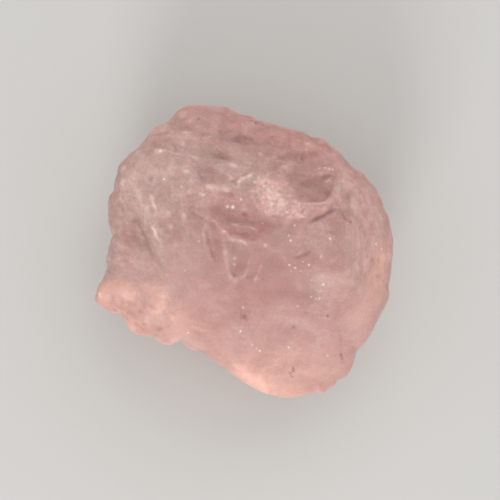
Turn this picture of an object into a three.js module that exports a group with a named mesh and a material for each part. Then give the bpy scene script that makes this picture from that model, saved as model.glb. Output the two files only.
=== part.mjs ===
// A rough morganite gemstone: one lump of pale pink beryl, worn and etched, lying on a small flat spot.
// Units are millimetres and +Z is up. Seen from above, +X is to the right and +Y is towards the far side.
// The origin is on the resting surface, below the middle of the stone.

import * as THREE from "three";
import { ImprovedNoise } from "three/addons/math/ImprovedNoise.js";
import { mergeVertices } from "three/addons/utils/BufferGeometryUtils.js";

// Driving dimensions
const WIDTH = 25; // left to right, which the whole stone is scaled to
const GIRTH_HEIGHT = 6.5; // height of the widest section above the resting spot
const DOME_HEIGHT = 8.1; // from the girth up to the uncut crown
const KEEL_DEPTH = 6.7; // from the girth down to the uncut keel
const BODY_POWER = 2.6; // 2 is an ellipsoid, and more is blockier
const EDGE_SOFTNESS = 1.3; // rounding where two worn faces meet
const MESH_DETAIL = 19; // 20 * (detail + 1)^2 triangles

// The girth seen from above, clockwise from the pointed lobe at the left.
const GIRTH_OUTLINE = [
  [-12.5, -3.9], [-12.1, -2.8], [-11.6, -1.9], [-11.6, -0.6], [-11.3, 0.4], [-11.1, 1.3],
  [-11.4, 2.3], [-11.5, 3.8], [-11.1, 5.2], [-10.9, 6.3], [-10.4, 7.2], [-9.6, 8.0],
  [-8.8, 8.7], [-8.0, 9.8], [-7.3, 10.4], [-6.3, 10.7], [-5.9, 11.3], [-5.0, 12.0],
  [-4.2, 12.3], [-3.1, 12.4], [-1.8, 12.1], [-0.4, 11.5], [1.4, 11.0], [3.4, 10.3],
  [5.1, 10.0], [6.7, 9.5], [7.7, 8.5], [9.7, 6.8], [10.8, 5.7], [11.5, 4.4],
  [12.1, 3.0], [12.5, 1.3], [12.5, -0.4], [12.3, -1.8], [12.0, -3.0], [12.2, -3.7],
  [11.7, -4.8], [10.3, -7.4], [9.5, -8.4], [9.1, -9.9], [8.6, -10.6], [7.6, -11.3],
  [6.5, -11.9], [5.3, -12.0], [4.1, -12.4], [3.0, -12.3], [1.7, -12.0], [-0.5, -10.7],
  [-3.1, -8.9], [-3.9, -8.4], [-4.6, -8.2], [-5.2, -7.8], [-5.8, -7.6], [-6.5, -7.8],
  [-7.5, -7.5], [-8.0, -7.0], [-8.9, -7.0], [-9.5, -6.5], [-10.0, -5.6], [-10.6, -5.2],
  [-11.5, -5.0], [-12.2, -4.6],
];

// The girth isn't level: it rises and falls round the stone in these waves.
const GIRTH_WAVES = [
  { count: 1, height: 0.9, shift: 0.5 },
  { count: 2, height: 0.55, shift: 2.4 },
  { count: 3, height: 0.3, shift: 1.0 },
];

// Broad worn faces: the way each one looks (turn from +X, tilt above the horizon) and how far it is from
// the middle of the girth.
const WORN_FACES = [
  { turn: -72, tilt: 58, reach: 8.9 },
  { turn: 92, tilt: 52, reach: 8.5 },
  { turn: 176, tilt: 60, reach: 8.5 },
  { turn: 8, tilt: 46, reach: 9.7 },
  { turn: 226, tilt: 50, reach: 9.1 },
  { turn: 280, tilt: 82, reach: 7.5 },
  { turn: -58, tilt: -40, reach: 10.0 },
  { turn: 30, tilt: -42, reach: 9.6 },
  { turn: 118, tilt: -36, reach: 9.7 },
  { turn: 200, tilt: -44, reach: 9.3 },
];
const LEAST_FACING = 0.05; // a face turned away more than this cuts nothing

// Hollows and swellings of the upper side: centre [x, y], half lengths [along, across], turn of the long
// axis, and height, which is negative for a hollow.
const UPPER_FORMS = [
  { at: [3.6, 4.7], half: [4.6, 2.1], turn: -12, height: -0.42 }, // frosted basin
  { at: [6.1, 5.1], half: [1.7, 1.2], turn: -4, height: -0.5 }, // deep end of the basin
  { at: [1.9, 5.0], half: [1.6, 1.1], turn: -25, height: 0.3 }, // frosted swelling in the basin
  { at: [-2.5, 7.3], half: [1.7, 1.1], turn: -35, height: -0.28 },
  { at: [-0.3, 9.4], half: [1.6, 0.6], turn: -6, height: -0.25 },
  { at: [5.4, 8.0], half: [2.8, 0.9], turn: -8, height: -0.25 },
  { at: [-0.8, 2.6], half: [2.4, 1.1], turn: -14, height: -0.35 }, // trough below the basin
  { at: [-0.3, -0.9], half: [1.1, 1.9], turn: 6, height: -0.22 }, // shield-shaped scar
  { at: [-8.2, 1.1], half: [0.8, 2.4], turn: 14, height: -0.32 }, // gutter down the left face
  { at: [-5.4, 0.9], half: [1.8, 2.3], turn: 8, height: 0.25 },
  { at: [-9.8, -3.5], half: [1.3, 1.0], turn: 0, height: 0.45 }, // knuckles of the left lobe
  { at: [-7.2, -4.6], half: [1.3, 1.1], turn: 20, height: 0.35 },
  { at: [0.6, -10.7], half: [2.0, 0.9], turn: -35, height: 0.35 },
  { at: [9.3, 5.2], half: [1.2, 1.9], turn: 35, height: 0.4 }, // shoulder beside the basin
  { at: [4.8, 0.1], half: [1.6, 0.9], turn: 30, height: -0.25 },
];

// Raised edges of the upper side: a line of [x, y] points, its half width and its height.
const UPPER_EDGES = [
  { line: [[0.5, 4.3], [1.6, 3.3], [3.9, 2.8], [5.8, 2.9], [7.5, 3.8]], half: 0.45, height: 0.16 }, // lip
  { line: [[-3.1, 2.6], [-1.2, 1.1], [0.2, 0.7], [1.6, 0.6]], half: 0.4, height: 0.14 },
  { line: [[-1.5, 0.9], [-1.5, -1.0], [-0.7, -2.7]], half: 0.35, height: 0.12 },
  { line: [[-0.7, -2.7], [0.6, -1.6], [1.3, -0.2]], half: 0.35, height: 0.1 },
  { line: [[-7.5, 4.4], [-7.3, 2.8], [-6.6, 0.8]], half: 0.4, height: 0.14 },
  { line: [[-8.9, 9.0], [-5.5, 9.0], [-1.5, 10.0], [3.0, 9.2], [6.6, 8.6]], half: 0.9, height: 0.25 },
];
const UPPER_SIDE = [0.05, 0.45]; // the forms set in where the surface turns up this much, from none to full
const BELL_STEEPNESS = 1.6; // how soon a form fades past its half length

// Shallow scoops where chips broke off the lower flanks. They are spread by the golden angle, and their
// ball sizes and depths swing between their limits from one chip to the next.
const CHIP_COUNT = 26;
const CHIP_BAND = [-0.3, -0.97]; // sine of the angle below the girth, from the first chip to the last
const CHIP_BALL = [3.2, 6.5];
const CHIP_DEPTH = [0.22, 0.5];
const CHIP_SOFTNESS = 0.25;
const BALL_SWING = 2.7; // radians from chip to chip
const DEPTH_SWING = 4.1;

// Lumps left by wear, as octaves of noise: the distance between lumps and their height.
const LUMPS = [
  { spacing: 5.2, height: 0.42 },
  { spacing: 2.4, height: 0.2 },
  { spacing: 1.3, height: 0.1 },
];
const LUMP_SHIFT = [7.3, 2.1]; // picks the stretch of noise

const OUTLINE_SAMPLES = 720;
const NOTCH_WINDOW = 36; // samples each way that are averaged where the rim's notches have faded
const NOTCH_FADE = 0.42; // how far from the girth the notches reach, in radians
const RIM_HOLD = 0.14; // how far from the girth the outline is kept from the lumps, in radians

const noise = new ImprovedNoise();
const radians = THREE.MathUtils.degToRad;

// Radii of the closed outline at even steps of angle round the stone's axis.
function outlineRadii() {
  const corners = GIRTH_OUTLINE.map(([x, y]) => new THREE.Vector3(x, y, 0));
  const curve = new THREE.CatmullRomCurve3(corners, true);
  const rim = curve
    .getPoints(OUTLINE_SAMPLES * 4)
    .map((p) => ({ turn: Math.atan2(p.y, p.x), radius: Math.hypot(p.x, p.y) }))
    .sort((a, b) => a.turn - b.turn);
  const radii = [];
  let k = 0;
  for (let i = 0; i < OUTLINE_SAMPLES; i += 1) {
    const turn = -Math.PI + (2 * Math.PI * (i + 0.5)) / OUTLINE_SAMPLES;
    while (k < rim.length - 1 && rim[k].turn < turn) {
      k += 1;
    }
    radii.push(rim[k].radius);
  }
  return radii;
}

function averagedRadii(radii, window) {
  return radii.map((_, i) => {
    let sum = 0;
    for (let k = -window; k <= window; k += 1) {
      sum += radii[(i + k + radii.length) % radii.length];
    }
    return sum / (2 * window + 1);
  });
}

const sharpRadii = averagedRadii(outlineRadii(), 1);
const softRadii = averagedRadii(sharpRadii, NOTCH_WINDOW);

function lookUp(radii, turn) {
  const place = ((turn + Math.PI) / (2 * Math.PI)) * radii.length - 0.5 + radii.length;
  const low = Math.floor(place);
  return THREE.MathUtils.lerp(radii[low % radii.length], radii[(low + 1) % radii.length], place - low);
}

// The rim's notches are sharp at the girth and fade away above and below it.
function planRadius(turn, lift) {
  const sharpness = Math.exp(-((lift / NOTCH_FADE) ** 2));
  return THREE.MathUtils.lerp(lookUp(softRadii, turn), lookUp(sharpRadii, turn), sharpness);
}

function smoothMin(a, b, softness) {
  const overlap = Math.max(softness - Math.abs(a - b), 0) / softness;
  return Math.min(a, b) - (overlap * overlap * softness) / 4;
}

// Unit vector for a turn from +X and a tilt above the horizon, both in degrees.
function lookDirection(turn, tilt) {
  const flat = Math.cos(radians(tilt));
  return new THREE.Vector3(
    flat * Math.cos(radians(turn)),
    flat * Math.sin(radians(turn)),
    Math.sin(radians(tilt)),
  );
}

const faceLooks = WORN_FACES.map(({ turn, tilt, reach }) => ({ reach, normal: lookDirection(turn, tilt) }));

// Distance from the middle of the girth to the surface, before the small forms.
function bodyReach(direction) {
  const turn = Math.atan2(direction.y, direction.x);
  const lift = Math.asin(THREE.MathUtils.clamp(direction.z, -1, 1));
  const half = lift > 0 ? DOME_HEIGHT : KEEL_DEPTH;
  const across = (Math.cos(lift) / planRadius(turn, lift)) ** BODY_POWER;
  const along = (Math.abs(Math.sin(lift)) / half) ** BODY_POWER;
  const uncut = (across + along) ** (-1 / BODY_POWER);
  return faceLooks.reduce((reach, face) => {
    const facing = face.normal.dot(direction);
    return facing > LEAST_FACING ? smoothMin(reach, face.reach / facing, EDGE_SOFTNESS) : reach;
  }, uncut);
}

// Between the two limits, by a wave that goes on by the swing from one chip to the next.
function swung([low, high], swing, index) {
  return THREE.MathUtils.lerp(low, high, 0.5 + 0.5 * Math.sin(index * swing));
}

// Each chip is the side of a ball that stands outside the stone and bites a little way in.
function chipBalls() {
  const goldenAngle = Math.PI * (3 - Math.sqrt(5));
  return Array.from({ length: CHIP_COUNT }, (_, i) => {
    const z = THREE.MathUtils.lerp(...CHIP_BAND, (i + 0.5) / CHIP_COUNT);
    const flat = Math.sqrt(1 - z * z);
    const turn = i * goldenAngle;
    const direction = new THREE.Vector3(flat * Math.cos(turn), flat * Math.sin(turn), z);
    const radius = swung(CHIP_BALL, BALL_SWING, i);
    const distance = bodyReach(direction) + radius - swung(CHIP_DEPTH, DEPTH_SWING, i);
    return { radius, centre: direction.multiplyScalar(distance) };
  });
}

// The reach along a direction once the chips are off.
function chippedReach(direction, chips) {
  return chips.reduce((reach, { centre, radius }) => {
    const along = direction.dot(centre);
    const inside = radius * radius - (centre.lengthSq() - along * along);
    return along > 0 && inside > 0 ? smoothMin(reach, along - Math.sqrt(inside), CHIP_SOFTNESS) : reach;
  }, bodyReach(direction));
}

function girthWave(turn) {
  return GIRTH_WAVES.reduce((sum, wave) => sum + wave.height * Math.sin(wave.count * turn + wave.shift), 0);
}

// 1 at the middle of a form and 0 well outside it.
function bell(distance) {
  return Math.exp(-distance * distance * BELL_STEEPNESS);
}

function distanceToLine(x, y, line) {
  let nearest = Infinity;
  for (let i = 0; i + 1 < line.length; i += 1) {
    const [ax, ay] = line[i];
    const [bx, by] = line[i + 1];
    const share = ((x - ax) * (bx - ax) + (y - ay) * (by - ay)) / ((bx - ax) ** 2 + (by - ay) ** 2);
    const t = THREE.MathUtils.clamp(share, 0, 1);
    nearest = Math.min(nearest, Math.hypot(x - ax - t * (bx - ax), y - ay - t * (by - ay)));
  }
  return nearest;
}

function formHeight(x, y, { at, half, turn, height }) {
  const c = Math.cos(radians(turn));
  const s = Math.sin(radians(turn));
  const along = ((x - at[0]) * c + (y - at[1]) * s) / half[0];
  const across = ((y - at[1]) * c - (x - at[0]) * s) / half[1];
  return height * bell(Math.hypot(along, across));
}

function edgeHeight(x, y, { line, half, height }) {
  return height * bell(distanceToLine(x, y, line) / half);
}

function upperRelief(x, y) {
  const forms = UPPER_FORMS.reduce((sum, form) => sum + formHeight(x, y, form), 0);
  return forms + Math.max(...UPPER_EDGES.map((edge) => edgeHeight(x, y, edge)));
}

function lumpRelief(p) {
  return LUMPS.reduce((sum, { spacing, height }) => {
    const wave = noise.noise(p.x / spacing + LUMP_SHIFT[0], p.y / spacing + LUMP_SHIFT[1], p.z / spacing);
    return sum + height * wave;
  }, 0);
}

function bodyGeometry() {
  const ball = new THREE.IcosahedronGeometry(1, MESH_DETAIL);
  ball.deleteAttribute("normal");
  ball.deleteAttribute("uv");
  const geometry = mergeVertices(ball);
  const chips = chipBalls();
  const place = geometry.getAttribute("position");
  const direction = new THREE.Vector3();
  for (let i = 0; i < place.count; i += 1) {
    direction.fromBufferAttribute(place, i).normalize();
    const reach = chippedReach(direction, chips);
    const level = direction.x ** 2 + direction.y ** 2;
    const wave = girthWave(Math.atan2(direction.y, direction.x)) * level;
    place.setXYZ(i, direction.x * reach, direction.y * reach, direction.z * reach + GIRTH_HEIGHT + wave);
  }
  geometry.computeVertexNormals();
  return geometry;
}

// Moves each point along its normal by the small forms, holds the outline at the girth, and cuts the
// flat resting spot.
function addRelief(geometry) {
  const place = geometry.getAttribute("position");
  const normals = geometry.getAttribute("normal");
  const point = new THREE.Vector3();
  const normal = new THREE.Vector3();
  const middle = new THREE.Vector3(0, 0, GIRTH_HEIGHT);
  for (let i = 0; i < place.count; i += 1) {
    point.fromBufferAttribute(place, i);
    normal.fromBufferAttribute(normals, i);
    const lift = Math.asin(point.clone().sub(middle).normalize().z);
    const hold = Math.exp(-((lift / RIM_HOLD) ** 2));
    const upper = THREE.MathUtils.smoothstep(normal.z, ...UPPER_SIDE);
    const step = lumpRelief(point) + upper * upperRelief(point.x, point.y);
    point.x += normal.x * step * (1 - hold);
    point.y += normal.y * step * (1 - hold);
    point.z += normal.z * step;
    place.setXYZ(i, point.x, point.y, Math.max(point.z, 0));
  }
  return geometry;
}

function centredAtWidth(geometry) {
  geometry.computeBoundingBox();
  const { min, max } = geometry.boundingBox;
  geometry.translate(-(min.x + max.x) / 2, -(min.y + max.y) / 2, -min.z);
  const scale = WIDTH / (max.x - min.x);
  geometry.scale(scale, scale, scale);
  geometry.computeVertexNormals();
  return geometry;
}

const paleMorganite = new THREE.MeshStandardMaterial({ color: "#d7a69b", roughness: 0.5, metalness: 0 });

const stone = new THREE.Mesh(centredAtWidth(addRelief(bodyGeometry())), paleMorganite);
stone.name = "morganite_stone";

const gemstone = new THREE.Group();
gemstone.add(stone);

export default gemstone;
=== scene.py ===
"""The look of a rough morganite gemstone: a milky, pale pink lump of beryl on a pale floor."""

import math

import bmesh
import bpy
import numpy as np
from bpy.props import (
    FloatProperty,
    FloatVectorProperty,
    IntProperty,
    PointerProperty,
)
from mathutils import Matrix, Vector
from mathutils.bvhtree import BVHTree


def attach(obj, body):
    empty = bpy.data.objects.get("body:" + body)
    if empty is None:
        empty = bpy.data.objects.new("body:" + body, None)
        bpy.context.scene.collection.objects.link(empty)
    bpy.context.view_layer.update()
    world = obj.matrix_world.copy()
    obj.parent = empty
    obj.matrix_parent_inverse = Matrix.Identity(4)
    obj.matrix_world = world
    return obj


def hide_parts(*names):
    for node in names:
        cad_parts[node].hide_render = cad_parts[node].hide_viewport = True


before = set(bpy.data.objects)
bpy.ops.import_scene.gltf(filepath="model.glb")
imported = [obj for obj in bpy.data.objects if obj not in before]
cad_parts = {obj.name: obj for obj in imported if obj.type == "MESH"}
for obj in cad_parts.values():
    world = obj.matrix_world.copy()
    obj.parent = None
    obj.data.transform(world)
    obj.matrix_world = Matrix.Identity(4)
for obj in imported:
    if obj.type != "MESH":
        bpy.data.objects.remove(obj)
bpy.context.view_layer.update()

bl_info = {
    "name": "Morganite gemstone",
    "version": (1, 0, 0),
    "blender": (4, 5, 0),
    "location": "3D View > Sidebar > Gemstone",
    "description": "Dresses a rough morganite stone and sets up its stage",
    "category": "Object",
}

MM = 0.001
STONE_NODE = "morganite_stone"
GIRTH_HEIGHT = 6.5  # mm above the resting spot
VIEW_HEIGHT = 117.0  # mm from the girth up to the camera
VIEW_AIM = (0.5, 0.1)  # mm, the point of the girth below the camera
EDGE_MARGIN = 0.05  # mm that the stone reaches past the outline below
FITTED_RIM = (0.9, 0.99)  # shares of the way to the rim where the fit to the outline begins and is full
LIP_SOFTNESS = 0.2  # mm, width of the border across a sharp lip
SKIN_LEVELS = 2  # times that the solid's faces are divided
CURVE_STEPS = 12  # steps along the smooth curve from one point of the outline to the next
TURN_SLOTS = 360  # directions in which the reach of the stone is measured

# The etched skin, in metres
STROKE_VALUES = ("half_width", "rise", "step", "pale")
STROKE_END = 0.35  # share of a stroke's strength that is left at its ends
STROKE_DOTS = 0.00006  # distance between the dots along a stroke
WANDER_SCALE = 1300.0  # waves per metre in the straying of the strokes
BREAK_SPACING = 0.0008  # distance between the breaks of weak strokes
PIT_SHARE = 0.4  # share of the cells that hold a pit
SEED_STEP = 1.37  # how far one step of the seed moves the noises
FOOT_HEIGHT = 0.0006  # height up to which the relief fades out towards the resting spot

# How much each pattern shows in the colour where the skin is smooth, and where it is worn
PATTERN_WEIGHTS = {
    "mottle": (0.09, 0.2), "grain": (0.12, 0.16), "beads": (0.08, 0.45), "stains": (-0.06, -0.3),
}

# The stage, in metres: the lights have a size and a place, and point at the middle of the stone
FLOOR_HALF = 1.5
KEY_LIGHT = (0.1, (-0.045, -0.2, 0.105))
FILL_LIGHT = (0.25, (0.07, 0.17, 0.15))
LIT_POINT = (0.0, 0.0, 0.006)
SKY_COLOUR = (1.0, 0.99, 0.975, 1.0)

# The tables below are in millimetres, in the part's frame, seen from above.

# The stone's outline, clockwise from the pointed lobe at the left.
OUTLINE = (
    (-12.52, -3.95), (-12.47, -3.6), (-12.35, -3.1), (-12.17, -2.68), (-11.93, -2.32), (-11.68, -1.77),
    (-11.52, -1.3), (-11.58, -0.7), (-11.4, 0.1), (-11.25, 0.7), (-11.1, 1.3), (-11.25, 1.8), (-11.4, 2.4),
    (-11.45, 3.8), (-11.35, 4.5), (-11, 5.1), (-10.9, 5.8), (-10.7, 6.5), (-10.5, 7.2), (-9.8, 8),
    (-8.9, 8.75), (-8.4, 9.35), (-8, 9.9), (-7.4, 10.5), (-6.9, 10.7), (-6.4, 10.95), (-6, 11.4),
    (-5.5, 11.9), (-4.9, 12.2), (-4.2, 12.3), (-3.1, 12.3), (-2.2, 12.2), (-1.4, 12.1), (-0.9, 11.8),
    (-0.2, 11.5), (0.8, 11.3), (1, 11.1), (2, 10.8), (3.4, 10.4), (4.5, 10.1), (5.2, 9.9), (5.8, 9.6),
    (6.5, 9.5), (7.3, 8.9), (8.1, 8.2), (8.6, 7.6), (9.1, 7.1), (9.9, 6.6), (10.4, 6), (10.9, 5.5),
    (11.5, 4.4), (11.8, 3.5), (12.1, 3), (12.3, 2), (12.5, 1), (12.5, 0), (12.4, -1), (12.3, -2),
    (12.15, -2.9), (12.2, -3.6), (11.9, -4.5), (11.1, -6), (10.7, -6.8), (10, -7.9), (9.5, -8.4),
    (9.3, -9.1), (9, -9.9), (8.6, -10.5), (7.9, -10.9), (7.4, -11.4), (6.5, -11.9), (5.9, -11.9), (5, -12.1),
    (4.1, -12.3), (3, -12.3), (2.3, -12.1), (1.5, -11.9), (0.2, -11.2), (-0.7, -10.6), (-1.6, -9.9),
    (-2.9, -9), (-3.3, -8.6), (-3.7, -8.4), (-4.1, -8.35), (-4.6, -8.15), (-5.1, -7.8), (-5.5, -7.7),
    (-6.3, -7.9), (-7.2, -7.6), (-7.8, -7.2), (-8.4, -7.15), (-9, -7), (-9.5, -6.65), (-9.87, -6.15),
    (-10.07, -5.75), (-10.4, -5.4), (-10.9, -5.2), (-11.45, -5.03), (-11.87, -4.8), (-12.2, -4.5),
    (-12.45, -4.2),
)

# Sharp borders, from left to right: the lip of the frosted basin, the near edge of its deep end, and the top
# of the lobe at the left.
BASIN_LIP = (
    (-1.5, 4.3), (0.3, 4.15), (0.9, 3.85), (1.5, 3.45), (2.1, 3.12), (3, 3.02), (4.2, 2.8), (5.4, 2.95),
    (6.6, 3.5), (7.8, 4.3),
)
DEEP_EDGE = ((3.4, 4.5), (4.3, 4.28), (6.8, 4.24), (7.2, 4.45), (7.45, 5.0), (7.6, 6.2))
LOBE_TOP = (
    (-12.5, -2.2), (-11.4, -2.5), (-10.6, -2.1), (-9.6, -2.3), (-8.9, -3.2), (-8.3, -2.5), (-7.4, -2.2),
    (-6.6, -2.6), (-5.8, -3.6), (-5, -5.2), (-2, -8),
)

# Areas: corners, width of the soft border, then rise, paleness, frost and warmth as for the patches below.
BASIN_AREAS = (
    # frost: broad, bright core and bright foot
    (((0.7, 5.1), (0.9, 5.9), (1.5, 6.35), (2.3, 6.2), (3.2, 6), (4, 5.2), (4.3, 4.3), (5.2, 3.8),
      (5.3, 2.9), (3.3, 2.8), (2.1, 2.9), (1.2, 3.6), (0.9, 4.3)), 1, 0.02, 0.05, 0.5, 0.1),
    (((0.9, 5.2), (1.3, 5.9), (2.6, 5.7), (3.1, 4.9), (3.4, 4.2), (4.2, 3.9), (4.6, 3.3), (4.3, 2.8),
      (3.2, 2.8), (1.9, 2.9), (1.4, 3.7), (1.6, 4.3)), 0.9, 0.03, 0.2, 0.6, 0.2),
    # brown veil at its left and beige slope at its right
    (((-0.5, 5.6), (0.2, 6), (0.8, 5.9), (0.9, 5), (1.4, 4.3), (0.9, 3.8), (0.2, 4), (-0.4, 4.1)),
      0.6, 0, -0.16, 0.1, -0.6),
    (((4.2, 4.25), (7, 4.25), (7.7, 4.4), (7.4, 3.9), (6.5, 3), (5.9, 2.6), (5, 2.7), (4.7, 3.6)),
      0.5, 0, 0.08, 0.2, -0.1),
)
DEEP_AREAS = (
    (((4, 3.6), (4.3, 4.9), (4.9, 5.6), (5.8, 5.8), (6.4, 5.7), (7, 5.8), (8.1, 5.8), (8.1, 3.6)),
      0.8, -0.1, -0.34, 0, 0.2),
    (((5.6, 3.6), (6, 4.7), (6.7, 5.2), (8, 5.3), (8, 3.6)), 0.8, -0.05, -0.3, 0, 0.2),
)
AREAS = (
    (((3.4, 6.1), (4.2, 6.8), (5.4, 6.6), (6.4, 6.2), (6.2, 5.6), (5, 5.4), (4.4, 4.8)),
      0.8, -0.03, -0.3, 0, 0),
    # trough below the basin, its notch and its lower half
    (((-2.9, 3.6), (-2.3, 3.9), (-1.2, 3.8), (-0.4, 3.6), (0.3, 3.4), (1.1, 3.1), (1.8, 2.7), (2.5, 2.3),
      (1.6, 1.9), (0.7, 2), (-0.3, 2.1), (-1.3, 2.2), (-2.1, 2.1), (-2.9, 2.7)), 0.9, -0.02, -0.7, 0, 0.3),
    (((-1.8, 5), (-0.95, 4.8), (-0.6, 4.1), (-0.9, 3.8), (-1.5, 4)), 0.4, -0.04, -0.4, 0, 0.4),
    (((-2.7, 3.75), (-1.9, 3.6), (-1, 3.1), (-0.2, 3.6), (0.2, 3.2), (1, 2.3), (0.1, 2.5), (-1, 2.9),
      (-2.2, 3)), 0.5, 0, 0, 0, 0.2),
    (((-2, 1.9), (-1, 2.1), (0.2, 2), (1.1, 1.95), (2, 2.2), (3, 2.2), (2.2, 1.5), (1.3, 1.1), (0.3, 0.9),
      (-0.7, 1.2), (-1.3, 1.3)), 0.6, -0.02, -0.5, 0, 0.3),
    (((-2.9, 2.3), (-2.3, 2.2), (-1.8, 1.3), (-1.8, 0.2), (-2.2, -0.5), (-2.8, 0.5)),
      0.5, -0.02, -0.32, 0, 0.2),
    # dark hollows beside the basin
    (((-4.2, 8.4), (-2.6, 8.5), (-1.3, 8.1), (-1.1, 7.5), (-2.4, 7.5), (-3.2, 7.7)), 0.9, -0.04, -0.2, 0, 0),
    (((-4.1, 7.1), (-3.2, 7.4), (-2.4, 6.9), (-1.5, 6.2), (-1.9, 5.7), (-2.9, 5.9), (-3.6, 5.7)),
      0.7, -0.05, -0.32, 0, 0.1),
    # gutter of the left face, the pale veil above it and painted shade on the edge beside it
    (((-9.5, 3), (-8.7, 3), (-8.4, 2), (-7.9, 1.1), (-7.6, 0.1), (-7.4, -0.8), (-7.95, -0.6), (-8.5, 0.2),
      (-9.2, 0.3), (-9.8, 1), (-9.7, 2.1)), 1.1, -0.05, -0.34, 0, -0.4),
    (((-9.2, 5.4), (-8.4, 5.2), (-8.1, 4), (-7.5, 3), (-7.2, 1.8), (-7.7, 1.4), (-8.3, 2.8), (-9, 4)),
      0.8, 0.02, 0.2, 0.1, -0.4),
    (((-11.2, 4.5), (-10.3, 4.1), (-9.7, 3.2), (-10.1, 2), (-10.9, 1.8), (-11.4, 3)),
      0.9, -0.03, -0.26, 0, -0.2),
    # grey, glittering ground at the right of the middle
    (((5.6, 2), (6.8, 2.2), (7.6, 1.2), (7.4, -0.6), (6.2, -0.9), (5.7, 0.4)), 0.9, 0, 0.03, 0.1, -0.6),
    (((5.5, -1.8), (7.2, -1.6), (7.9, -2.8), (7.2, -4.2), (5.9, -4.1), (5.3, -3)), 1, 0, 0.2, 0.12, -0.35),
    # painted shade along the rim of the upper right, which curves away from the light
    (((-1.5, 12.3), (1, 11.4), (5.3, 10.1), (7.4, 9.1), (10, 6.8), (11.7, 4.3), (12.4, 2.2), (11.9, 2.2),
      (11.2, 4.2), (9.6, 6.2), (7, 8.5), (5, 9.5), (0.8, 10.8), (-1.7, 11.8)), 0.5, 0, -0.4, 0, 0.1),
    # bright knuckles of the lobe, and its upper edge
    (((-12.6, -3.6), (-12.2, -2.5), (-11.8, -1.7), (-11.1, -2.2), (-11.2, -3.1), (-11.8, -3.9)),
      0.9, 0, 0.18, 0, 0.3),
    (((-12.4, -3.6), (-11.8, -2.9), (-11.1, -3.2), (-11.4, -4.3), (-12.2, -4.5)), 0.7, 0.03, 0.18, 0.1, 0.3),
    (((-11.2, -2.7), (-9.8, -2.5), (-8.9, -3.3), (-9.4, -4.1), (-10.6, -4)), 0.8, 0.05, 0.15, 0.1, 0.3),
    (((-8.5, -2.8), (-7.3, -2.5), (-6.4, -3.1), (-6.6, -4.4), (-7.3, -4.9), (-7.9, -3.6)),
      0.8, 0.04, 0.14, 0.06, 0.3),
    # painted highlight: white crest of the bulge at the bottom, where the key light falls
    (((-0.9, -9.7), (0.3, -9.8), (1.5, -10.4), (2.5, -11.3), (1.7, -11.8), (0.5, -11.3)),
      0.8, 0.03, 0.38, 0.1, 0.6),
)

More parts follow.
